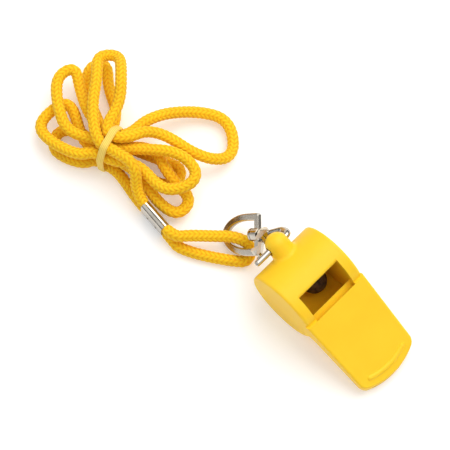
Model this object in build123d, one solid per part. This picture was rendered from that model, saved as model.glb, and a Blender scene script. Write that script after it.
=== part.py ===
"""Pea whistle on a plaited neck cord, in millimetres.

The whistle lies on its barrel and on the end of its mouthpiece. +Z is up and +X runs from the lug to the
mouthpiece. The origin is on the surface below the middle of the whistle and its clip.
"""

import math
import os

from build123d import *

# How far a cutter runs past what it cuts.
overrun = 2.0

# Whistle moulding: a barrel across the body, seen from the side as a disc.
barrel_radius = 10.5
barrel_wall = 1.8
body_width = 20.0
side_wall = 2.8
body_edge_round = 0.7

# Mouthpiece. Its shoulder is set in from the barrel's front and down from its top, and flares out past the
# barrel's ends. Its tip is measured forward from the barrel's axis and up from the surface.
shoulder_inset = 0.7
shoulder_drop = 5.0
tip_reach = 29.4
tip_height = 4.8
tip_bulge = 2.3
tip_taper = 0.5
shoulder_flare = 0.3
flare_inset = 0.8
flare_run = 1.6
tip_corner_round = 2.6
heel_angle = 3.0
bead_radius = 0.8
bead_rise = 0.5
bead_inset = 2.4
bead_end_inset = 3.4

# Sounding window and windway, whose floor runs on behind the shoulder as a ledge.
window_width = 14.0
lip_angle = 73.5
lip_round = 0.8
roof_thickness = 1.1
windway_height = 1.2
ledge_reach = 2.4

# Side cover, welded into a rebate on the far side.
cover_thickness = 2.8
cover_ledge = 0.8
cover_gap = 0.05

# Pea.
pea_radius = 3.5
pea_gap = 0.2
pea_side_offset = 2.4

# Lug: a round stub with a domed end and a cross hole.
lug_rise = 3.1
lug_angle = 148.5
lug_radius = 3.2
lug_root_round = 1.2
lug_hole_radius = 1.3

# Clip: claw through the lug, boss, swivel shank with a peened head.
claw_radius = 0.85
claw_gap = 0.35
claw_tip_reach = 7.2
claw_shoulder = 3.4
claw_bend_radius = 1.5
claw_elbow_radius = 2.5
catch_radius = 0.75
catch_reach = 6.0
clip_skew = 20.9
neck_reach = 10.4
boss_radius = 1.6
boss_thickness = 2.4
shank_radius = 0.85
shank_fit = 0.06
head_radius = 1.8
head_thickness = 0.9
head_gap = 0.2

# Gate, measured in the clip's plane. Its pivot is set back from the neck, and its end away from the
# lug's hole.
pivot_inset = 3.0
pivot_side = -0.6
gate_end_reach = 2.4
gate_end_side = -4.8
gate_width = 1.1
gate_thickness = 1.2
gate_gap = 0.1
gate_hub_radius = 1.1
gate_pin_radius = 0.45
gate_pin_fit = 0.04
tab_share = 0.62
tab_rise = 1.9
tab_radius = 0.75
spring_wall = 0.2
spring_gap = 0.05
spring_length = 0.5

# Swivel eye: a straight bar and a half oval bow of flat section.
eye_width = 11.3
eye_straight = 3.4
eye_bow = 9.6
eye_rim = 2.0
eye_thickness = 1.5
eye_edge_round = 0.35
eye_corner_round = 0.8
eye_bar_depth = 1.6
eye_boss_radius = 1.8
eye_boss_length = 2.2
eye_roll = 43.0
eye_rest = 1.4

# Cord, ferrule and band.
cord_radius = 1.55
cord_pitch = 3.6
ferrule_length = 8.4
ferrule_width = 2.9
ferrule_wall = 0.4
ferrule_seam = 0.25
ferrule_fit = 0.02
crimp_radius = 0.8
crimp_depth = 0.15
crimp_shares = (0.3, 0.7)
ferrule_heading = -5.0
ferrule_entry = (-28.0, -14.4)
strand_low = 1.65
strand_high = 5.2
band_width = 2.0
band_thickness = 0.5
band_gap = 0.15
hank_center = (-45.8, -9.9)
hank_heading = 16.5
row_pitch = 3.2
waist_half = 2.8
waist_floor = 0.75
end_run_share = 1.2
loop_end_share = 1.05
arc_reach_share = 0.45

# Strands at the waist, from below: sideways place in pitches, and row.
strand_places = [
    (-1, 0),
    (0, 0),
    (1, 0),
    (0.5, 1),
    (-0.5, 1),
    (-1, 2),
    (0, 2),
    (1, 2),
    (0.5, 3),
    (-0.5, 3),
]

# Lobes in the order in which the cord runs through them. Each has its heading at the waist and at the tip,
# its reach and width, and the side of its first leg. Then come the first and the second leg, each with how
# far it stands aside at the neck and at the shoulder, as shares of the width, and the height that it settles
# to. Last are the tip's share and height.
back_lobes = [
    (-10, -15, 16.0, 5.0, 1, (1.0, 0.9, 1.65), (0.4, 0.8, 1.65), (0.5, 2.0)),
    (30, 53, 26.0, 7.5, -1, (0.8, 0.5, 1.65), (0.0, 0.35, 1.65), (0.35, 2.2)),
    (-30, -5, 20.5, 9.5, -1, (0.1, 1.15, 4.7), (0.4, 0.35, 6.0), (0.25, 4.6)),
    (25, 32, 25.0, 8.5, 1, (0.9, 0.7, 8.2), (0.0, 0.15, 5.2), (0.35, 7.6)),
    (50, 60, 26.0, 7.0, -1, (0.6, 0.65, 13.2), (0.5, 0.3, 11.2), (0.45, 8.6)),
]
front_lobes = [
    (6, 8, 20.0, 8.5, -1, (0.1, 0.45, 1.65), (0.35, 0.35, 1.65), (0.3, 1.65)),
    (5, -10, 26.0, 10.0, 1, (0.6, 0.2, 5.6), (0.2, 0.5, 3.4), (0.3, 3.4)),
    (10, 5, 25.0, 8.0, -1, (0.3, 0.85, 8.5), (0.25, 0.55, 11.5), (0.3, 10.0)),
    (45, 35, 33.5, 16.0, 1, (0.4, 0.5, 1.65), (-0.1, 0.5, 6.5), (0.35, 2.5)),
]
# Along a leg, and how much of the waist's height it keeps: at the neck, the shoulder and the tip.
leg_shares = [(0.38, 0.72), (0.72, 0.2), (0.99, 0.0)]

# Strands between the waist and the ferrule, in the hank's frame.
low_end_bend = (6.6, -4.9, 2.1)
high_end_bend = (9.8, -2.8, 13.6)

# Small loop through the eye, from the ferrule's upper strand round to its lower one.
loop_route = [
    (-13.5, -11.9, 5.2),
    (-9.4, -8.0, 5.0),
    (-4.8, -3.4, 4.6),
    (-0.4, -1.7, 3.1),
    (2.0, -5.4, 1.65),
    (-1.2, -8.2, 1.65),
    (-6.2, -11.6, 1.65),
    (-10.6, -14.2, 1.65),
    (-14.4, -15.8, 1.65),
]

side_view = Plane.XZ
half_width = body_width / 2
chamber_radius = barrel_radius - barrel_wall
shoulder_reach = barrel_radius - shoulder_inset
shoulder_height = 2 * barrel_radius - shoulder_drop
tip_end = tip_reach + tip_bulge
tip_half = half_width - tip_taper
roof_slope = math.atan2(shoulder_height - tip_height, tip_reach - shoulder_reach)
barrel_axis = Vector(0, 0, barrel_radius)
lug_reach = barrel_radius + lug_rise


def around_barrel(radius, degrees):
    """A point of the side view at a radius and angle about the barrel's axis."""
    angle = math.radians(degrees)
    return (radius * math.cos(angle), barrel_radius + radius * math.sin(angle))


def roof_line(reach, depth):
    """The side view's height at a reach, on a line below the mouthpiece's roof by a depth square to it."""
    drop = (reach - shoulder_reach) * math.tan(roof_slope) + depth / math.cos(roof_slope)
    return (reach, shoulder_height - drop)


def cross_cylinder(radius, start, end):
    """A cylinder about the barrel's axis, between two places across the body."""
    plane = Plane(origin=(0, start, barrel_radius), z_dir=(0, 1, 0))
    return extrude(plane * Circle(radius), amount=end - start)


def barrel():
    drum = cross_cylinder(barrel_radius, -half_width, half_width)
    return fillet(drum.edges().filter_by(GeomType.CIRCLE), body_edge_round)


def mouthpiece():
    far = tip_end + overrun
    heel = around_barrel(barrel_radius, -heel_angle)
    under_slope = heel[1] / (tip_end - heel[0])
    profile = Polygon(
        (0, barrel_radius),
        (shoulder_reach, shoulder_height),
        roof_line(far, 0),
        (far, -overrun * under_slope),
        heel,
        align=None,
    )
    inner, outer = half_width - shoulder_flare, half_width + shoulder_flare
    slab = extrude(side_view * profile, amount=outer, both=True)
    flare_end = shoulder_reach - flare_inset
    flare_start = flare_end - flare_run
    side = [(0, inner), (flare_start, inner), (flare_end, outer), (tip_reach, tip_half)]
    other_side = [(x, -y) for x, y in reversed(side)]
    end = ThreePointArc(side[-1], (tip_end, 0), other_side[0])
    root = Line(other_side[-1], side[0])
    plan = make_face([*Polyline(*side).edges(), end, *Polyline(*other_side).edges(), root])
    plan = fillet(plan.vertices().group_by(Axis.X)[-1], tip_corner_round)
    column = extrude(Pos(0, 0, -overrun) * plan, amount=2 * barrel_radius + 2 * overrun)
    solid = slab & column
    rims = [edge for edge in solid.edges() if edge.center().X > shoulder_reach + overrun]
    rims = [edge for edge in rims if abs(edge.tangent_at(0.5).Z) < math.cos(roof_slope)]
    return fillet(rims, body_edge_round)


def lug_solid():
    radial = Vector(math.cos(math.radians(lug_angle)), 0, math.sin(math.radians(lug_angle)))
    root = barrel_radius - barrel_wall / 2
    plane = Plane(origin=barrel_axis + radial * root, x_dir=(0, 1, 0), z_dir=radial)
    stub = extrude(plane * Circle(lug_radius), amount=lug_reach - root)
    lug = stub + Pos(barrel_axis + radial * lug_reach) * Sphere(lug_radius)
    across = Plane(origin=barrel_axis + radial * lug_reach, z_dir=(0, 1, 0))
    hole = extrude(across * Circle(lug_hole_radius), amount=half_width, both=True)
    return lug, hole


def bead():
    """The raised bead that follows the curve of the mouthpiece's end."""
    end = tip_half - bead_end_inset
    sink = bead_radius - bead_rise
    middle = tip_end - bead_inset
    side = tip_reach - bead_inset + tip_bulge * (1 - (end / tip_half) ** 2)
    points = []
    for reach, across in ((side, -end), (middle, 0), (side, end)):
        x, z = roof_line(reach, sink)
        points.append((x, across, z))
    path = ThreePointArc(*points)
    tube = sweep(Plane(origin=path @ 0, z_dir=path % 0) * Circle(bead_radius), path=path)
    return tube + [Pos(path @ place) * Sphere(bead_radius) for place in (0, 1)]


def whistle_body():
    lug, hole = lug_solid()
    drum = barrel() + lug
    root = around_barrel(barrel_radius, lug_angle)
    root_edges = drum.edges().sort_by_distance((root[0], lug_radius, root[1]))[:1]
    body = fillet(root_edges, lug_root_round) + mouthpiece() + bead()
    inner = half_width - cover_thickness
    chamber = cross_cylinder(chamber_radius, side_wall - half_width, inner)
    rebate = cross_cylinder(chamber_radius + cover_ledge, inner, half_width + overrun)
    far = tip_end + overrun
    floor_depth = roof_thickness + windway_height
    lip = around_barrel(barrel_radius + overrun, lip_angle)
    ledge = shoulder_reach - ledge_reach
    windway = Polygon(
        roof_line(far, roof_thickness),
        roof_line(shoulder_reach - overrun, roof_thickness),
        roof_line(shoulder_reach - overrun, floor_depth),
        roof_line(far, floor_depth),
        align=None,
    )
    window = Polygon(
        (0, barrel_radius),
        lip,
        (shoulder_reach, lip[1]),
        roof_line(shoulder_reach, floor_depth),
        roof_line(ledge, floor_depth),
        (ledge, barrel_radius),
        align=None,
    )
    slot = extrude(side_view * (windway + window), amount=window_width / 2, both=True)
    body = body - slot - chamber - rebate - hole
    x, z = around_barrel(barrel_radius, lip_angle)
    lip_edge = body.edges().filter_by(Axis.Y).sort_by_distance((x, 0, z))[0]
    return fillet(lip_edge, lip_round)


def side_cover():
    inner = half_width - cover_thickness
    return cross_cylinder(chamber_radius + cover_ledge - cover_gap, inner, half_width)


def pea():
    height = barrel_radius - chamber_radius + pea_radius + pea_gap
    return Pos(0, pea_side_offset, height) * Sphere(pea_radius)


# The clip's plane holds the lug hole's axis. Its x runs from the hole down to the eye.
hole_center = Vector(
    lug_reach * math.cos(math.radians(lug_angle)),
    0,
    barrel_radius + lug_reach * math.sin(math.radians(lug_angle)),
)
skew = math.radians(clip_skew)
eye_depth = eye_straight + eye_bow - eye_rim / 2
clip_drop = math.asin((hole_center.Z - eye_rest) / (neck_reach + eye_depth * math.cos(skew)))
clip_dir = Vector(-math.cos(clip_drop), 0, -math.sin(clip_drop))
clip_plane = Plane(origin=hole_center, x_dir=clip_dir, z_dir=clip_dir.cross(Vector(0, 1, 0)))
shank_local = Vector(math.cos(skew), -math.sin(skew), 0)
shank_dir = clip_plane.from_local_coords(shank_local) - hole_center
neck = clip_plane.from_local_coords(Vector(neck_reach, 0, 0))
boss_local = Vector(neck_reach, 0, 0) - shank_local * (eye_bar_depth / 2 + head_gap + boss_radius)
pivot_local = Vector(neck_reach - pivot_inset, pivot_side, 0)


def clip_disc(center, radius, thickness):
    """A disc in the clip's plane, on both sides of it."""
    return extrude(clip_plane * Pos(center) * Circle(radius), amount=thickness / 2, both=True)


def hook_body():
    spine = lug_radius + claw_gap + claw_radius
    local = [
        Vector(0, -claw_tip_reach, 0),
        Vector(0, spine, 0),
        Vector(claw_shoulder, spine, 0),
        boss_local,
    ]
    points = [clip_plane.from_local_coords(point) for point in local]
    path = FilletPolyline(*points, radius=[claw_bend_radius, claw_elbow_radius])
    claw = sweep(Plane(origin=path @ 0, z_dir=path % 0) * Circle(claw_radius), path=path)
    claw += Pos(path @ 0) * Sphere(claw_radius)
    catch = clip_plane.from_local_coords(Vector(claw_radius, -catch_reach, 0))
    claw += Pos(catch) * Sphere(catch_radius)
    boss = clip_disc(boss_local, boss_radius, boss_thickness)
    arm_room = gate_width / 2 + gate_gap
    slot_depth = gate_thickness + 2 * gate_gap
    pocket = clip_disc(pivot_local, gate_hub_radius + gate_gap, slot_depth)
    away = Vector(gate_end_reach, gate_end_side, 0) - pivot_local
    swing = Plane(origin=pivot_local, x_dir=away, z_dir=(0, 0, 1))
    reach = away.length
    mouth = swing * Pos(reach / 2, 0) * Rectangle(reach, 2 * (gate_hub_radius + gate_gap))
    pocket += extrude(clip_plane * mouth, amount=slot_depth / 2, both=True)
    pin_hole = clip_disc(pivot_local, gate_pin_radius, boss_thickness + overrun)
    cheeks = clip_disc(pivot_local, gate_hub_radius + gate_gap, boss_thickness)
    shank_start = clip_plane.from_local_coords(boss_local)
    head_start = eye_boss_length - eye_bar_depth / 2 + head_gap
    shank_length = (neck - shank_start).length + head_start
    shank_plane = Plane(origin=shank_start, z_dir=shank_dir)
    shank = extrude(shank_plane * Circle(shank_radius), amount=shank_length + head_thickness)
    head_plane = Plane(origin=shank_start + shank_dir * shank_length, z_dir=shank_dir)
    head = extrude(head_plane * Circle(head_radius), amount=head_thickness)
    crown = head.edges().filter_by(GeomType.CIRCLE).sort_by(Axis(shank_start, shank_dir))[-1]
    head = fillet(crown, head_thickness / 2)
    return claw + boss + cheeks + shank + head - pocket - pin_hole


def gate():
    end_local = Vector(gate_end_reach, gate_end_side, 0)
    away = end_local - pivot_local
    swing = Plane(origin=pivot_local, x_dir=away, z_dir=(0, 0, 1))
    reach = away.length
    arm = Pos(reach / 2, 0) * Rectangle(reach, gate_width) + Circle(gate_hub_radius)
    arm += Pos(reach, 0) * Circle(gate_width / 2)
    tab_at = reach * tab_share
    arm += Pos(tab_at, tab_rise / 2) * Rectangle(2 * tab_radius, tab_rise)
    arm += Pos(tab_at, tab_rise) * Circle(tab_radius)
    solid = extrude(clip_plane * swing * arm, amount=gate_thickness / 2, both=True)
    bore = clip_disc(pivot_local, gate_pin_radius + gate_pin_fit, gate_thickness + overrun)
    recess_radius = gate_pin_radius + 2 * spring_gap + spring_wall
    top = Pos(pivot_local + Vector(0, 0, gate_thickness / 2 - spring_length - spring_gap))
    recess = extrude(clip_plane * top * Circle(recess_radius), amount=spring_length + overrun)
    return solid - bore - recess


def gate_pin():
    return clip_disc(pivot_local, gate_pin_radius, boss_thickness)


def gate_spring():
    inner = gate_pin_radius + spring_gap
    top = Pos(pivot_local + Vector(0, 0, gate_thickness / 2 - spring_length))
    ring = Circle(inner + spring_wall) - Circle(inner)
    return extrude(clip_plane * top * ring, amount=spring_length)


def swivel_eye():
    roll = math.radians(eye_roll)
    across = clip_plane.from_local_coords(Vector(math.sin(skew), math.cos(skew), 0)) - hole_center
    bar_dir = across * math.cos(roll) - clip_plane.z_dir * math.sin(roll)
    plane = Plane(origin=neck, x_dir=shank_dir, z_dir=shank_dir.cross(bar_dir))
    half_bar = eye_bar_depth / 2
    outer_half = eye_width / 2
    inner_half = outer_half - eye_rim
    outer = Pos((eye_straight - half_bar) / 2, 0) * Rectangle(eye_straight + half_bar, eye_width)
    outer += Pos(eye_straight, 0) * Ellipse(eye_bow, outer_half)
    outer -= Pos(-half_bar - eye_bow, 0) * Rectangle(2 * eye_bow, 2 * eye_width)
    outer = fillet(outer.vertices().group_by(Axis.X)[0], eye_corner_round)
    inner = Pos((eye_straight + half_bar) / 2, 0) * Rectangle(eye_straight - half_bar, 2 * inner_half)
    inner += Pos(eye_straight, 0) * Ellipse(eye_bow - eye_rim, inner_half)
    inner -= Pos(half_bar - eye_bow, 0) * Rectangle(2 * eye_bow, 2 * eye_width)
    ring = extrude(plane * (outer - inner), amount=eye_thickness / 2, both=True)
    ring = fillet(ring.faces().filter_by(plane).edges(), eye_edge_round)
    shank_plane = Plane(origin=neck - shank_dir * (eye_bar_depth / 2), z_dir=shank_dir)
    boss = extrude(shank_plane * Circle(eye_boss_radius), amount=eye_boss_length)
    bore_plane = Plane(origin=neck, z_dir=shank_dir)
    bore = extrude(bore_plane * Circle(shank_radius + shank_fit), amount=eye_straight / 2, both=True)
    return ring + boss - bore


# The lanyard is laid out from the point on the surface below the clip's neck.
lanyard = Pos(neck.X, neck.Y)
hank_frame = lanyard * Pos(*hank_center) * Rot(0, 0, hank_heading)
ferrule_height = (strand_low + strand_high) / 2
ferrule_plane = Plane(
    lanyard * Pos(*ferrule_entry, ferrule_height) * Rot(0, 0, ferrule_heading) * Rot(0, 90, 0)
)
ferrule_dir = ferrule_plane.z_dir
cord_diameter = 2 * cord_radius
strands = [
    (place * cord_pitch, cord_radius + waist_floor + row * row_pitch) for place, row in strand_places
]


def moved(location, point):
    return (location * Pos(*point)).position


def lobe(values, side, first, second):
    """The route of one lobe from the waist out and back, in the hank's frame."""
    waist_turn, tip_turn, reach, width, lean, first_leg, second_leg, tip = values
    points = []
    for strand, (neck_spread, shoulder_spread, rest), way in (
        (strands[first], first_leg, lean),
        (strands[second], second_leg, -lean),
    ):
        leg = [(side * waist_half, strand[0], strand[1])]
        for (along, keep), spread in zip(leg_shares, (neck_spread, shoulder_spread, tip[0])):
            turn = math.radians(waist_turn + (tip_turn - waist_turn) * along)
            out = Vector(side * math.cos(turn), math.sin(turn))
            aside = Vector(-out.Y, out.X)
            spot = out * (along * reach) + aside * (way * spread * width)
            height = keep * strand[1] + (1 - keep) * rest if keep else tip[1]
            leg.append((spot.X, spot.Y, height))
        points += leg if way == lean else leg[::-1]
    return points


def ferrule_point(along, height):
    spot = moved(lanyard, (*ferrule_entry, height))
    return spot + ferrule_dir * along


def hank_route():
    """The neck cord from the ferrule's lower strand through all lobes to its upper strand."""
    inside = [low_end_bend, (waist_half, *strands[0])]
    for count, values in enumerate(back_lobes):
        inside += lobe(values, -1, 2 * count, 2 * count + 1)
        if count < len(front_lobes):
            inside += lobe(front_lobes[count], 1, 2 * count + 1, 2 * count + 2)
    inside += [(waist_half, *strands[-1]), high_end_bend]
    end_run = end_run_share * cord_diameter
    start = [ferrule_point(0, strand_low), ferrule_point(-end_run, strand_low)]
    end = [ferrule_point(-end_run, strand_high), ferrule_point(0, strand_high)]
    return start + [moved(hank_frame, point) for point in inside] + end


def small_loop_route():
    out = ferrule_length + loop_end_share * cord_diameter
    start = [ferrule_point(ferrule_length, strand_high), ferrule_point(out, strand_high)]
    end = [ferrule_point(out, strand_low), ferrule_point(ferrule_length, strand_low)]
    return start + [moved(lanyard, point) for point in loop_route] + end


def cord_path(points):
    """Straight runs joined by arcs, each as large as its two runs allow."""
    radii = []
    for before, at, after in zip(points, points[1:], points[2:]):
        inward, outward = at - before, after - at
        turn = math.radians(inward.get_angle(outward))
        radii.append(arc_reach_share * min(inward.length, outward.length) / math.tan(turn / 2))
    return FilletPolyline(*points, radius=radii), radii


def cord_tube(points, title):
    path, radii = cord_path(points)
    tube = sweep(Plane(origin=path @ 0, z_dir=path % 0) * Circle(cord_radius), path=path)
    expected = math.pi * cord_radius**2 * path.length
    print(title, "length", round(path.length, 1), "volume share", round(tube.volume / expected, 4))
    print(title, "radii", [round(radius, 1) for radius in sorted(radii)])
    return tube, path


def least_gap(path, samples=8):
    """The least clear distance between stretches of a cord more than four diameters apart along it."""
    spots = []
    run = 0
    for edge in path.edges():
        for step in range(samples):
            spots.append((run + edge.length * step / samples, edge @ (step / samples)))
        run += edge.length
    least = run
    for count, (place, spot) in enumerate(spots):
        for other_place, other in spots[count + 1 :]:
            if other_place - place > 4 * cord_diameter:
                least = min(least, (spot - other).length)
    return least - cord_diameter


def neck_cord():
    tube, path = cord_tube(hank_route(), "neck cord")
    print("neck cord least gap", round(least_gap(path), 2))
    return tube


def ferrule_section(shrink):
    spread = strand_high - strand_low
    return SlotCenterToCenter(spread, ferrule_width - 2 * shrink)


def clip_loop():
    tube, path = cord_tube(small_loop_route(), "clip loop")
    core = extrude(ferrule_plane * ferrule_section(ferrule_wall + ferrule_fit), amount=ferrule_length)
    return tube + core


def ferrule():
    shell = extrude(
        ferrule_plane * (ferrule_section(0) - ferrule_section(ferrule_wall)), amount=ferrule_length
    )
    crimp_reach = (strand_high - strand_low) / 2
    cuts = []
    for share in crimp_shares:
        for side in (-1, 1):
            offset = side * (ferrule_width / 2 + crimp_radius - crimp_depth)
            spot = Plane(ferrule_plane.location * Pos(0, offset, ferrule_length * share) * Rot(0, 90, 0))
            cuts.append(extrude(spot * Circle(crimp_radius), amount=crimp_reach, both=True))
    seam_box = Box(2 * strand_high - ferrule_wall, ferrule_seam, ferrule_length)
    seam = Pos(-strand_high, 0, ferrule_length / 2) * seam_box
    return shell - cuts - ferrule_plane.location * seam


def band():
    plane = Plane(hank_frame * Pos(-band_width / 2, 0) * Rot(90, 90, 0))
    loose = cord_radius + band_gap
    circles = [Pos(*strand) * Circle(loose) for strand in strands]
    inner = make_hull([edge for circle in circles for edge in circle.edges()])
    outer = offset(inner, band_thickness)
    return extrude(plane * (outer - inner), amount=band_width)


clip_pieces = {
    "whistle_body": whistle_body(),
    "side_cover": side_cover(),
    "pea": pea(),
    "hook_body": hook_body(),
    "gate": gate(),
    "gate_pin": gate_pin(),
    "gate_spring": gate_spring(),
    "swivel_eye": swivel_eye(),
}
cord_pieces = {
    "clip_loop": clip_loop(),
    "ferrule": ferrule(),
    "neck_cord": neck_cord(),
    "band": band(),
}
middle = Compound(children=[Part() + piece for piece in clip_pieces.values()]).bounding_box().center()
to_origin = Pos(-middle.X, -middle.Y)

os.makedirs("parts", exist_ok=True)
for name, piece in {**clip_pieces, **cord_pieces}.items():
    placed = to_origin * piece
    box = placed.bounding_box()
    print(name, len(placed.solids()), round(placed.volume, 2), box.min, box.max)
    export_step(placed, f"parts/{name}.step")
for title, spot in (("neck", neck), ("lug hole", hole_center), ("barrel axis", barrel_axis)):
    print(title, to_origin.position + spot)
print("pivot", to_origin.position + clip_plane.from_local_coords(pivot_local), "along", clip_plane.z_dir)
print("shank", shank_dir)
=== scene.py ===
# %% [markdown]
# # A pea whistle on its knitted lanyard
# A moulded yellow whistle lies on a table with its neck cord bundled beside it. The hard pieces come from
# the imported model. The soft ones, two cords and an elastic band, are made here, because a knitted cord is
# known by its stitches and a plain tube has none.

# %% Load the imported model
import math

import bpy
import numpy as np
from mathutils import Matrix, Vector


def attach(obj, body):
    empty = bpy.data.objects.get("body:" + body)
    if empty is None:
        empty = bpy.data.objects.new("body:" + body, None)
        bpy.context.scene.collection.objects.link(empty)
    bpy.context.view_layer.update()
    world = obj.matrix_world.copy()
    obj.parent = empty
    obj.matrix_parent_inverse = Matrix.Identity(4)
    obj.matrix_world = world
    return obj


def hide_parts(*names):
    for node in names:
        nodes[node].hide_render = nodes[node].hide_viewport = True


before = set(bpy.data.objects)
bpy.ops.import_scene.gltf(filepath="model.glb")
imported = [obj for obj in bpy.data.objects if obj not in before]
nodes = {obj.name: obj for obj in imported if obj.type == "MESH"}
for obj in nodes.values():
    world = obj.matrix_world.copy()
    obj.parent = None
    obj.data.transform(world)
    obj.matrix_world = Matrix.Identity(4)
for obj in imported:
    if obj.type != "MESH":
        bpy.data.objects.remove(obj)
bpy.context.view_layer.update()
MM = 0.001
print("nodes:", ", ".join(sorted(nodes)))

# %% [markdown]
# ## The camera
# The photograph looks down steeply at the whistle from a corner, with a long lens. The camera is built
# from its three axes, so that what it sees can be worked out on paper: right, up, and back towards the
# viewer.

# %% Camera
view_elevation = math.radians(73.5)
view_azimuth = math.radians(-45.15)
view_target = Vector((-30.40, -2.18, 0)) * MM
view_distance = 500 * MM
sensor_width = 36
lens_length = 148.8
back = Vector(
    (
        math.cos(view_elevation) * math.cos(view_azimuth),
        math.cos(view_elevation) * math.sin(view_azimuth),
        math.sin(view_elevation),
    )
)
right = Vector((0, 0, 1)).cross(back).normalized()
up = back.cross(right)
camera_data = bpy.data.cameras.new("camera")
camera_data.sensor_width = sensor_width
camera_data.lens = lens_length
camera = bpy.data.objects.new("camera", camera_data)
bpy.context.collection.objects.link(camera)
camera.matrix_world = Matrix.Translation(view_target + back * view_distance) @ Matrix(
    (right, up, back)
).transposed().to_4x4()
bpy.context.scene.camera = camera
print("camera at", [round(x, 4) for x in camera.location])

# %% [markdown]
# ## Small helpers for materials
# Every finish is a small graph of nodes. Such a graph can be clicked together or written out call by
# call. These helpers add a node, wire it, start a material with its one shader and turn a value into a
# colour, so that each finish below reads as a list of what it is made of.

# %% Node helpers
def add(tree, kind, **settings):
    """A new node, with its input sockets and its own settings given by name."""
    node = tree.nodes.new(kind)
    for name, value in settings.items():
        if name in node.inputs:
            node.inputs[name].default_value = value
        else:
            setattr(node, name, value)
    return node


def wire(tree, source, target):
    tree.links.new(source, target)


def new_material(name):
    material = bpy.data.materials.new(name)
    material.use_nodes = True
    tree = material.node_tree
    shader = tree.nodes["Principled BSDF"]
    return material, tree, shader


def color_ramp(tree, factor, *stops):
    """The colour that a value gives, from stops of a place between 0 and 1 and a colour."""
    ramp = add(tree, "ShaderNodeValToRGB")
    elements = ramp.color_ramp.elements
    while len(elements) < len(stops):
        elements.new(0.5)
    for element, (position, color) in zip(elements, stops):
        element.position = position
        element.color = (*color, 1)
    wire(tree, factor, ramp.inputs["Fac"])
    return ramp.outputs["Color"]


print("helpers ready")

# %% [markdown]
# ## Surface grain
# No made surface is perfectly even. Plastic has a faint swirl from the mould, metal has fine scuffs, cork
# has pits. Each finish could have its own noise, but all of them are noise of two sizes, so one node
# group serves them all: it gives a broad mottle for colour and roughness, and a fine height for bump.

# %% Group helpers
def new_group(name, inputs, outputs):
    group = bpy.data.node_groups.new(name, "ShaderNodeTree")
    for title, default in inputs:
        socket = group.interface.new_socket(title, in_out="INPUT", socket_type="NodeSocketFloat")
        socket.default_value = default
    for title, kind in outputs:
        group.interface.new_socket(title, in_out="OUTPUT", socket_type=kind)
    return group, add(group, "NodeGroupInput"), add(group, "NodeGroupOutput")


def place_group(tree, group, **values):
    node = add(tree, "ShaderNodeGroup")
    node.node_tree = group
    for title, value in values.items():
        node.inputs[title.replace("_", " ")].default_value = value
    return node


print("group helpers ready")

# %% Grain node group
grain, grain_in, grain_out = new_group(
    "Grain",
    [("Broad Scale", 200.0), ("Fine Scale", 2500.0), ("Roughness Low", 0.3), ("Roughness High", 0.4)],
    [("Mottle", "NodeSocketFloat"), ("Roughness", "NodeSocketFloat"), ("Height", "NodeSocketFloat")],
)
coords = add(grain, "ShaderNodeTexCoord")
broad = add(grain, "ShaderNodeTexNoise", Detail=3.0)
fine = add(grain, "ShaderNodeTexNoise", Detail=4.0)
wire(grain, coords.outputs["Object"], broad.inputs["Vector"])
wire(grain, coords.outputs["Object"], fine.inputs["Vector"])
wire(grain, grain_in.outputs["Broad Scale"], broad.inputs["Scale"])
wire(grain, grain_in.outputs["Fine Scale"], fine.inputs["Scale"])
spread = add(grain, "ShaderNodeMapRange")
wire(grain, broad.outputs["Fac"], spread.inputs["Value"])
wire(grain, grain_in.outputs["Roughness Low"], spread.inputs["To Min"])
wire(grain, grain_in.outputs["Roughness High"], spread.inputs["To Max"])
wire(grain, broad.outputs["Fac"], grain_out.inputs["Mottle"])
wire(grain, spread.outputs["Result"], grain_out.inputs["Roughness"])
wire(grain, fine.outputs["Fac"], grain_out.inputs["Height"])
print("grain outputs:", [socket.name for socket in grain_out.inputs if socket.name])

# %% [markdown]
# Every finish of the object starts alike: a material with the grain placed in it and its roughness
# wired. Most end alike too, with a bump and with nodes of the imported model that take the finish.

# %% Finish helpers
def grained_material(name, broad_scale, fine_scale, roughness_low, roughness_high):
    material, tree, shader = new_material(name)
    surface = place_group(
        tree,
        grain,
        Broad_Scale=broad_scale,
        Fine_Scale=fine_scale,
        Roughness_Low=roughness_low,
        Roughness_High=roughness_high,
    )
    wire(tree, surface.outputs["Roughness"], shader.inputs["Roughness"])
    return material, tree, shader, surface


def bump(tree, height, shader, strength, distance):
    """Lets a height tilt the shader's normals, with the distance in metres."""
    node = add(tree, "ShaderNodeBump", Strength=strength, Distance=distance)
    wire(tree, height, node.inputs["Height"])
    wire(tree, node.outputs["Normal"], shader.inputs["Normal"])


def dress(material, *names):
    """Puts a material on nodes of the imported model, in place of what they came with."""
    for name in names:
        materials = nodes[name].data.materials
        materials.clear()
        materials.append(material)
    print(material.name, "on", ", ".join(names))


print("finish helpers ready")

# %% [markdown]
# ## Yellow plastic
# The whistle is moulded in one bright yellow with a satin gloss. One flat colour would look like painted
# card, so the colour has a faint broad mottle, and a little light goes into the plastic and scatters,
# which softens the edges.

# %% Whistle plastic
plastic, tree, shader, surface = grained_material(
    "yellow_plastic", broad_scale=90.0, fine_scale=1800.0, roughness_low=0.40, roughness_high=0.52
)
wire(
    tree,
    color_ramp(tree, surface.outputs["Mottle"], (0.3, (0.97, 0.585, 0.014)), (0.7, (1.0, 0.62, 0.018))),
    shader.inputs["Base Color"],
)
shader.inputs["Specular IOR Level"].default_value = 0.3
shader.inputs["Subsurface Weight"].default_value = 0.2
shader.inputs["Subsurface Radius"].default_value = (1.0, 0.5, 0.08)
shader.inputs["Subsurface Scale"].default_value = 0.0015
bump(tree, surface.outputs["Height"], shader, strength=0.06, distance=0.0002)
dress(plastic, "whistle_body", "side_cover")

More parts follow.
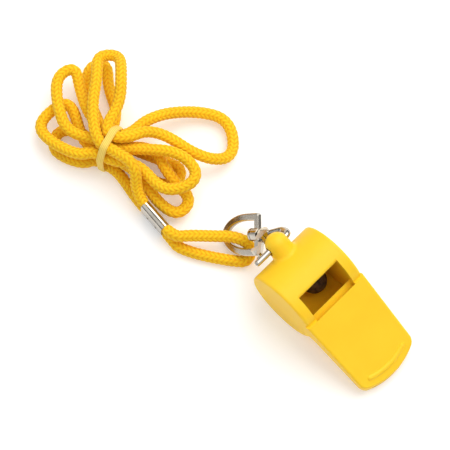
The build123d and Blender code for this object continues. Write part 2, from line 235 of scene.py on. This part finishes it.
# %% [markdown]
# ## Plated metal
# The clip, its swivel eye and the ferrule are nickel plated. Plating has hardly a colour of its own and
# shows its surroundings, so the finish is mostly a low roughness, with a slightly warm tint and faint
# scuffs. What it reflects comes later, from the lights.

# %% Plated metal
plated, tree, shader, surface = grained_material(
    "plated_metal", broad_scale=300.0, fine_scale=4000.0, roughness_low=0.10, roughness_high=0.26
)
wire(
    tree,
    color_ramp(tree, surface.outputs["Mottle"], (0.3, (0.46, 0.42, 0.36)), (0.7, (0.62, 0.58, 0.51))),
    shader.inputs["Base Color"],
)
shader.inputs["Metallic"].default_value = 1.0
bump(tree, surface.outputs["Height"], shader, strength=0.05, distance=0.0001)
dress(plated, "hook_body", "gate", "gate_pin", "swivel_eye", "ferrule")

# %% [markdown]
# ## Spring wire and cork
# The gate's spring is plain drawn steel, darker and duller than the plating. The pea is cork: brown, matt
# and pitted, with dark specks. Its colours are far darker than cork's own, as painted shade for the deep
# shade of the barrel that it lies in. Little of it shows, so noise and a strong bump do for the pits, and
# none of them is cut.

# %% Spring wire
wire_steel, tree, shader, surface = grained_material(
    "spring_steel", broad_scale=800.0, fine_scale=6000.0, roughness_low=0.3, roughness_high=0.5
)
wire(
    tree,
    color_ramp(tree, surface.outputs["Mottle"], (0.3, (0.22, 0.22, 0.22)), (0.7, (0.34, 0.34, 0.33))),
    shader.inputs["Base Color"],
)
shader.inputs["Metallic"].default_value = 1.0
dress(wire_steel, "gate_spring")

# %% Cork
cork, tree, shader, surface = grained_material(
    "cork", broad_scale=700.0, fine_scale=2200.0, roughness_low=0.75, roughness_high=0.95
)
# Painted shade: these cork colours are darkened far below cork's own, for the shade inside the barrel.
wire(
    tree,
    color_ramp(
        tree,
        surface.outputs["Mottle"],
        (0.32, (0.02, 0.012, 0.006)),
        (0.45, (0.07, 0.04, 0.018)),
        (0.7, (0.13, 0.075, 0.032)),
    ),
    shader.inputs["Base Color"],
)
bump(tree, surface.outputs["Height"], shader, strength=0.5, distance=0.0004)
dress(cork, "pea")

# %% [markdown]
# ## Where the cords run
# The neck cord leaves the ferrule, winds to and fro through the band at its waist, and comes back to the
# ferrule one strand higher. A simulated cord would fall in some other heap, so the route is laid out from
# set points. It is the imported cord's own, in millimetres. First come the ferrule, and the strands where
# they pass through the band: each has a place across the bundle, in pitches, and a row above the table.

# %% Place the ferrule and the waist
neck_point = Vector((-20.4058, 0, 0))
cord_radius = 1.55
cord_diameter = 2 * cord_radius
strand_low = 1.65
strand_high = 5.2
ferrule_entry = neck_point + Vector((-28.0, -14.4, 0))
ferrule_length = 8.4
ferrule_heading = math.radians(-5.0)
ferrule_dir = Vector((math.cos(ferrule_heading), math.sin(ferrule_heading), 0))
hank_center = neck_point + Vector((-45.8, -9.9, 0))
hank_heading = math.radians(16.5)
hank_turn = Matrix.Rotation(hank_heading, 3, "Z")
waist_half = 2.8
cord_pitch = 3.6
row_pitch = 3.2
lowest_row = 2.3
strand_places = [
    (-1, 0),
    (0, 0),
    (1, 0),
    (0.5, 1),
    (-0.5, 1),
    (-1, 2),
    (0, 2),
    (1, 2),
    (0.5, 3),
    (-0.5, 3),
]
strands = [(place * cord_pitch, lowest_row + row * row_pitch) for place, row in strand_places]


def ferrule_point(along, height):
    return ferrule_entry + ferrule_dir * along + Vector((0, 0, height))


print("strands at the waist:", len(strands))

# %% [markdown]
# The lobes of the bundle differ in heading, reach and width, so each is a row of numbers, and a loop lays
# them out in the order in which the cord runs through them. A row has the heading at the waist and at the
# tip, the reach and the width, and the side of the first leg. Then come the two legs, each with how far
# it stands aside at the neck and at the shoulder, as shares of the width, and the height that it settles
# to. Last are the tip's share and height.

# %% Lay out the neck cord
back_lobes = [
    (-10, -15, 16.0, 5.0, 1, (1.0, 0.9, 1.65), (0.4, 0.8, 1.65), (0.5, 2.0)),
    (30, 53, 26.0, 7.5, -1, (0.8, 0.5, 1.65), (0.0, 0.35, 1.65), (0.35, 2.2)),
    (-30, -5, 20.5, 9.5, -1, (0.1, 1.15, 4.7), (0.4, 0.35, 6.0), (0.25, 4.6)),
    (25, 32, 25.0, 8.5, 1, (0.9, 0.7, 8.2), (0.0, 0.15, 5.2), (0.35, 7.6)),
    (50, 60, 26.0, 7.0, -1, (0.6, 0.65, 13.2), (0.5, 0.3, 11.2), (0.45, 8.6)),
]
front_lobes = [
    (6, 8, 20.0, 8.5, -1, (0.1, 0.45, 1.65), (0.35, 0.35, 1.65), (0.3, 1.65)),
    (5, -10, 26.0, 10.0, 1, (0.6, 0.2, 5.6), (0.2, 0.5, 3.4), (0.3, 3.4)),
    (10, 5, 25.0, 8.0, -1, (0.3, 0.85, 8.5), (0.25, 0.55, 11.5), (0.3, 10.0)),
    (45, 35, 33.5, 16.0, 1, (0.4, 0.5, 1.65), (-0.1, 0.5, 6.5), (0.35, 2.5)),
]
# Along a leg, and how much of the waist's height it keeps: at the neck, the shoulder and the tip.
leg_shares = [(0.38, 0.72), (0.72, 0.2), (0.99, 0.0)]
low_end_bend = Vector((6.6, -4.9, 2.1))
high_end_bend = Vector((9.8, -2.8, 13.6))
end_run_share = 1.2
end_run = end_run_share * cord_diameter
ferrule_tuck = 1.5


def lobe(values, side, first, second):
    """The route of one lobe from the waist out and back, in the bundle's own frame."""
    waist_turn, tip_turn, reach, width, lean, first_leg, second_leg, tip = values
    points = []
    for strand, (neck_spread, shoulder_spread, rest), way in (
        (strands[first], first_leg, lean),
        (strands[second], second_leg, -lean),
    ):
        leg = [Vector((side * waist_half, *strand))]
        for (along, keep), spread in zip(leg_shares, (neck_spread, shoulder_spread, tip[0])):
            turn = math.radians(waist_turn + (tip_turn - waist_turn) * along)
            out = Vector((side * math.cos(turn), math.sin(turn), 0))
            aside = Vector((-out.y, out.x, 0))
            spot = out * (along * reach) + aside * (way * spread * width)
            spot.z = keep * strand[1] + (1 - keep) * rest if keep else tip[1]
            leg.append(spot)
        points += leg if way == lean else leg[::-1]
    return points


hank = [low_end_bend, Vector((waist_half, *strands[0]))]
for count, values in enumerate(back_lobes):
    hank += lobe(values, -1, 2 * count, 2 * count + 1)
    if count < len(front_lobes):
        hank += lobe(front_lobes[count], 1, 2 * count + 1, 2 * count + 2)
hank += [Vector((waist_half, *strands[-1])), high_end_bend]
neck_route = [ferrule_point(ferrule_tuck, strand_low), ferrule_point(-end_run, strand_low)]
neck_route += [hank_center + hank_turn @ point for point in hank]
neck_route += [ferrule_point(-end_run, strand_high), ferrule_point(ferrule_tuck, strand_high)]
print("neck cord points:", len(neck_route))

# %% [markdown]
# The small loop leaves the far end of the ferrule on the upper strand, goes down through the swivel eye,
# turns under its rim and comes back along the table.

# %% Lay out the small loop
loop_end_share = 1.05
loop_start = ferrule_length - ferrule_tuck
loop_end = ferrule_length + loop_end_share * cord_diameter
loop_middle = [
    (-13.5, -11.9, 5.2),
    (-9.4, -8.0, 5.0),
    (-4.8, -3.4, 4.6),
    (-0.4, -1.7, 3.1),
    (2.0, -5.4, 1.65),
    (-1.2, -8.2, 1.65),
    (-6.2, -11.6, 1.65),
    (-10.6, -14.2, 1.65),
    (-14.4, -15.8, 1.65),
]
loop_route = [ferrule_point(loop_start, strand_high), ferrule_point(loop_end, strand_high)]
loop_route += [neck_point + Vector(point) for point in loop_middle]
loop_route += [ferrule_point(loop_end, strand_low), ferrule_point(loop_start, strand_low)]
print("small loop points:", len(loop_route))

# %% [markdown]
# ## From a route to a smooth line
# A cord has no corners. Arcs between straight runs would look like bent wire, so the route's points
# become the control points of a NURBS curve, which glides past them. The points of that curve are read
# back as the cord's centre line.

# %% Read a smooth line
def smooth_line(name, route):
    """Points in metres along the smooth curve that a route in millimetres controls."""
    curve = bpy.data.curves.new(name, "CURVE")
    curve.dimensions = "3D"
    spline = curve.splines.new("NURBS")
    spline.points.add(len(route) - 1)
    for point, spot in zip(spline.points, route):
        point.co = (*(spot * MM), 1)
    spline.order_u = 3
    spline.use_endpoint_u = True
    spline.resolution_u = 12
    guide = bpy.data.objects.new(name, curve)
    mesh = bpy.data.meshes.new_from_object(guide)
    line = np.array([vertex.co for vertex in mesh.vertices])
    bpy.data.objects.remove(guide)
    bpy.data.curves.remove(curve)
    bpy.data.meshes.remove(mesh)
    return line


def line_length(line):
    return float(np.linalg.norm(np.diff(line, axis=0), axis=1).sum())


neck_line = smooth_line("neck_guide", neck_route)
loop_line = smooth_line("loop_guide", loop_route)
print("lengths:", round(line_length(neck_line), 4), round(line_length(loop_line), 4))

# %% [markdown]
# ## A knitted cord
# The cord is a tube of knitting. Its stitches stand in columns along it, and each stitch is a V of two
# plump legs that lean together. A bump would lie flat at the cord's edge, so the tube's surface itself is
# pushed in and out to that pattern, and the stitches catch the light from any side. The same height is
# kept on the mesh for the colour, to paint shade into the grooves.

# %% The pattern of the stitches
columns = 4
stitch_length = 1.3 * MM
stitch_lean = 0.9
leg_roundness = 0.75
crown_power = 0.8
groove_share = 0.12


def knit_height(around, along):
    """How proud the knitting stands, from 0 in a groove to 1 on a leg's crown."""
    column = (around * columns) % 1.0
    from_middle = np.abs(column - 0.5) * 2
    across = np.abs(from_middle - 0.5) * 2
    leg = np.sqrt(np.clip(1 - leg_roundness * across**2, 0, 1))
    place_in_stitch = along / stitch_length - stitch_lean * from_middle
    crown = np.abs(np.sin(np.pi * place_in_stitch)) ** crown_power
    return leg * (groove_share + (1 - groove_share) * crown)


print("stitches are", stitch_length, "m long, in", columns, "columns")

# %% [markdown]
# The tube is a stack of rings along the centre line. Each ring needs two directions square to the line,
# and these are carried from ring to ring without twisting, or the columns of stitches would wind round
# the cord.

# %% Knit a tube
rings_per_stitch = 8
sides_per_leg = 5
core_share = 0.88
relief_share = 0.17
end_share = 0.6
end_taper = 2.6 * MM


def reach_along(line):
    """How far along a line each of its points lies."""
    runs = np.linalg.norm(np.diff(line, axis=0), axis=1)
    return np.concatenate([[0], np.cumsum(runs)])


def points_at(line, marks):
    """The points that lie so far along a line."""
    reach = reach_along(line)
    return np.stack([np.interp(marks, reach, places) for places in line.T], axis=1)


def evenly(line, step):
    """The line again in even steps, and how far along it each of its points lies."""
    length = reach_along(line)[-1]
    marks = np.linspace(0, length, int(round(length / step)) + 1)
    return points_at(line, marks), marks


def frames_along(line):
    """Two directions square to the line at each point, carried along it without twisting."""
    ahead = np.gradient(line, axis=0)
    ahead /= np.linalg.norm(ahead, axis=1)[:, None]
    first = np.empty_like(line)
    start = np.cross(ahead[0], (0, 0, 1))
    first[0] = start / np.linalg.norm(start)
    for index in range(1, len(line)):
        carried = first[index - 1] - ahead[index] * np.dot(first[index - 1], ahead[index])
        first[index] = carried / np.linalg.norm(carried)
    return first, np.cross(ahead, first)


def knit_tube(name, line):
    """A knitted tube round a line, narrower at its two ends, where it goes into the ferrule."""
    spots, marks = evenly(line, stitch_length / rings_per_stitch)
    first, second = frames_along(spots)
    sides = columns * 2 * sides_per_leg
    around = np.arange(sides) / sides
    height = knit_height(around[None, :], marks[:, None])
    from_end = np.minimum(marks, marks[-1] - marks)
    ramp = np.clip(from_end / end_taper, 0, 1)
    squeeze = end_share + (1 - end_share) * ramp**2 * (3 - 2 * ramp)
    radius = cord_radius * MM * squeeze[:, None] * (core_share + relief_share * height)
    angle = around * 2 * np.pi
    sideways = np.cos(angle)[None, :, None] * first[:, None, :]
    sideways = sideways + np.sin(angle)[None, :, None] * second[:, None, :]
    points = spots[:, None, :] + radius[:, :, None] * sideways
    rings = len(spots)
    grid = np.arange(rings * sides).reshape(rings, sides)
    turned = np.roll(grid, -1, axis=1)
    faces = np.stack([grid[:-1], turned[:-1], turned[1:], grid[1:]], axis=2).reshape(-1, 4)
    ends = [tuple(grid[0][::-1]), tuple(grid[-1])]
    mesh = bpy.data.meshes.new(name)
    mesh.from_pydata(points.reshape(-1, 3).tolist(), [], faces.tolist() + ends)
    shade = mesh.attributes.new("stitch", "FLOAT", "POINT")
    shade.data.foreach_set("value", height.reshape(-1))
    mesh.polygons.foreach_set("use_smooth", [True] * len(mesh.polygons))
    piece = bpy.data.objects.new(name, mesh)
    bpy.context.collection.objects.link(piece)
    print(name, "points:", len(mesh.vertices))
    return piece, spots


neck_cord, neck_spots = knit_tube("neck_cord_knit", neck_line)
clip_loop, loop_spots = knit_tube("clip_loop_knit", loop_line)

# %% [markdown]
# ## Dyed yarn, with painted shade in its grooves
# The yarn is golden yellow and fluffy. Its colour is painted deeper and more orange down in the grooves,
# as painted shade, which the stitches' height on the mesh gives better than shadows alone. Its fibres
# scatter light at grazing angles, as the shader's sheen does.

# %% Cord material
yarn, tree, shader, surface = grained_material(
    "yellow_cord", broad_scale=160.0, fine_scale=5000.0, roughness_low=0.65, roughness_high=0.85
)
stitch = add(tree, "ShaderNodeAttribute", attribute_name="stitch")
# Painted shade: the darker, more orange stops colour the grooves, where shade falls between the stitches.
groove_painted_shade = color_ramp(
    tree,
    stitch.outputs["Fac"],
    (0.1, (0.76, 0.28, 0.002)),
    (0.45, (0.97, 0.51, 0.005)),
    (0.85, (1.0, 0.64, 0.014)),
)
fade = color_ramp(tree, surface.outputs["Mottle"], (0.3, (0.9, 0.88, 0.8)), (0.7, (1, 1, 1)))
mixed = add(tree, "ShaderNodeMix", data_type="RGBA", blend_type="MULTIPLY")
mixed.inputs["Factor"].default_value = 1.0
colors_in = [socket for socket in mixed.inputs if socket.type == "RGBA"]
color_out = next(socket for socket in mixed.outputs if socket.type == "RGBA")
wire(tree, groove_painted_shade, colors_in[0])
wire(tree, fade, colors_in[1])
wire(tree, color_out, shader.inputs["Base Color"])
shader.inputs["Specular IOR Level"].default_value = 0.2
shader.inputs["Sheen Weight"].default_value = 0.08
shader.inputs["Sheen Roughness"].default_value = 0.5
bump(tree, surface.outputs["Height"], shader, strength=0.35, distance=0.0001)
print("yarn colours joined:", len(colors_in))

# %% [markdown]
# ## What the cords are
# The two knitted tubes stand for the imported model's plain ones, which are hidden. Each takes the yarn and
# is attached to the lanyard.

for piece in (neck_cord, clip_loop):
    piece.data.materials.append(yarn)
    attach(piece, "lanyard")
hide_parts("neck_cord")
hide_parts("clip_loop")

# %% [markdown]
# ## The elastic band
# A flat woven elastic holds the bundle at its waist. A plain ring would stand off from the strands, but
# the elastic hugs them, so it follows the tight outline round them all, found as the convex hull of their
# circles. Across its width it is a little crowned.

# %% Outline of the elastic band
band_gap = 0.15
steps_round = 48
outline_count = 160
loose = cord_radius + band_gap
turns = [2 * math.pi * step / steps_round for step in range(steps_round)]
around_strands = [
    (place + loose * math.cos(turn), height + loose * math.sin(turn))
    for place, height in strands
    for turn in turns
]


def turns_left(start, middle, end):
    run, rise = middle[0] - start[0], middle[1] - start[1]
    return run * (end[1] - start[1]) > rise * (end[0] - start[0])


def convex_hull(points):
    """The corners of the tight outline round flat points, in order."""
    ordered = sorted(set(points))
    halves = []
    for run in (ordered, ordered[::-1]):
        half = []
        for point in run:
            while len(half) > 1 and not turns_left(half[-2], half[-1], point):
                half.pop()
            half.append(point)
        halves += half[:-1]
    return np.array(halves)


def closed_evenly(corners, count):
    """A closed outline again, as so many points in even steps."""
    loop = np.vstack([corners, corners[:1]])
    marks = np.linspace(0, reach_along(loop)[-1], count, endpoint=False)
    return points_at(loop, marks)


outline = closed_evenly(convex_hull(around_strands), outline_count)
ahead = np.roll(outline, -1, axis=0) - np.roll(outline, 1, axis=0)
outward = np.stack([ahead[:, 1], -ahead[:, 0]], axis=1)
outward /= np.linalg.norm(outward, axis=1)[:, None]
print("band outline", round(line_length(outline), 1), "mm")

# %% Elastic band
band_width = 2.0
band_thickness = 0.5
section_shares = [
    (-1.0, 0.0),
    (-1.0, 0.6),
    (-0.85, 0.88),
    (-0.4, 0.98),
    (0.0, 1.0),
    (0.4, 0.98),
    (0.85, 0.88),
    (1.0, 0.6),
    (1.0, 0.0),
]
corners = []
for (place, height), (place_out, height_out) in zip(outline, outward):
    for across, rise in section_shares:
        lift = rise * band_thickness
        spot = Vector((across * band_width / 2, place + place_out * lift, height + height_out * lift))
        corners.append((hank_center + hank_turn @ spot) * MM)
section_count = len(section_shares)
faces = []
for index in range(outline_count):
    here = index * section_count
    there = (index + 1) % outline_count * section_count
    for step in range(section_count):
        beside = (step + 1) % section_count
        faces.append((here + step, there + step, there + beside, here + beside))
band_mesh = bpy.data.meshes.new("elastic_band")
band_mesh.from_pydata(corners, [], faces)
band_mesh.polygons.foreach_set("use_smooth", [True] * len(faces))
band_mesh.update()
band = bpy.data.objects.new("elastic_band", band_mesh)
bpy.context.collection.objects.link(band)
print("band faces:", len(faces))

# %% [markdown]
# ## Woven elastic
# The band is paler than the cord, and fine threads run round it. A woven image would show its pixels up
# close, so the threads are a wave across the band's width, turned with the bundle, which shades the
# colour and lifts the surface a little.

# %% Band material
elastic, tree, shader, surface = grained_material(
    "elastic_band", broad_scale=300.0, fine_scale=4500.0, roughness_low=0.6, roughness_high=0.8
)
ribs_at = add(tree, "ShaderNodeTexCoord")
turned = add(tree, "ShaderNodeMapping")
turned.inputs["Rotation"].default_value = (0, 0, -hank_heading)
wire(tree, ribs_at.outputs["Object"], turned.inputs["Vector"])
ribs = add(tree, "ShaderNodeTexWave", Scale=700.0, Distortion=0.0)
ribs.bands_direction = "X"
wire(tree, turned.outputs["Vector"], ribs.inputs["Vector"])
wire(
    tree,
    color_ramp(tree, ribs.outputs["Fac"], (0.1, (0.86, 0.56, 0.07)), (0.8, (0.96, 0.72, 0.16))),
    shader.inputs["Base Color"],
)
bump(tree, ribs.outputs["Fac"], shader, strength=0.5, distance=0.0001)
band_mesh.materials.append(elastic)
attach(band, "lanyard")
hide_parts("band")
print("band done")

# %% [markdown]
# ## Table and light
# The product lies on plain white in a soft studio. The floor is a large pale sheet that glows a little,
# as a light table does, so that the shadows stay faint. A wide light above and behind gives the bright
# top of the barrel, a weaker one fills the near side, and the surroundings darken towards the horizon, so
# that the plated clip has something to reflect.

# %% Floor
floor_mesh = bpy.data.meshes.new("floor")
floor_half = 1.5
floor_corners = [(x * floor_half, y * floor_half, 0) for x, y in ((-1, -1), (1, -1), (1, 1), (-1, 1))]
floor_mesh.from_pydata(floor_corners, [], [(0, 1, 2, 3)])
floor = bpy.data.objects.new("floor", floor_mesh)
bpy.context.collection.objects.link(floor)
paper, tree, shader = new_material("white_paper")
shader.inputs["Base Color"].default_value = (0.9, 0.9, 0.9, 1)
shader.inputs["Emission Color"].default_value = (1, 1, 1, 1)
shader.inputs["Emission Strength"].default_value = 0.2
shader.inputs["Roughness"].default_value = 0.9
shader.inputs["Specular IOR Level"].default_value = 0.1
floor_mesh.materials.append(paper)
print("floor", 2 * floor_half, "m wide")

# %% Lights
def soft_light(name, spot, target, size, power):
    """A square light of a size in metres and a power in watts, facing its target."""
    data = bpy.data.lights.new(name, "AREA")
    data.shape = "SQUARE"
    data.size = size
    data.energy = power
    light = bpy.data.objects.new(name, data)
    bpy.context.collection.objects.link(light)
    light.location = spot
    light.rotation_euler = (Vector(target) - Vector(spot)).to_track_quat("-Z", "Y").to_euler()


middle = (-0.03, 0, 0)
soft_light("key", (-0.1, 0.5, 0.85), middle, size=0.9, power=6.5)
soft_light("fill", (-0.6, -0.5, 0.7), middle, size=0.8, power=0.4)
print("lights ready")

# %% Surroundings
world = bpy.data.worlds.new("studio")
bpy.context.scene.world = world
world.use_nodes = True
tree = world.node_tree
sky = tree.nodes["Background"]
direction = add(tree, "ShaderNodeTexCoord")
axes = add(tree, "ShaderNodeSeparateXYZ")
wire(tree, direction.outputs["Generated"], axes.inputs["Vector"])
brightness = color_ramp(
    tree,
    axes.outputs["Z"],
    (0.15, (0.04, 0.04, 0.04)),
    (0.35, (0.8, 0.8, 0.8)),
    (0.7, (1, 1, 1)),
)
wire(tree, brightness, sky.inputs["Color"])
sky.inputs["Strength"].default_value = 0.8
bpy.context.scene.view_settings.view_transform = "Standard"
print("surroundings ready")
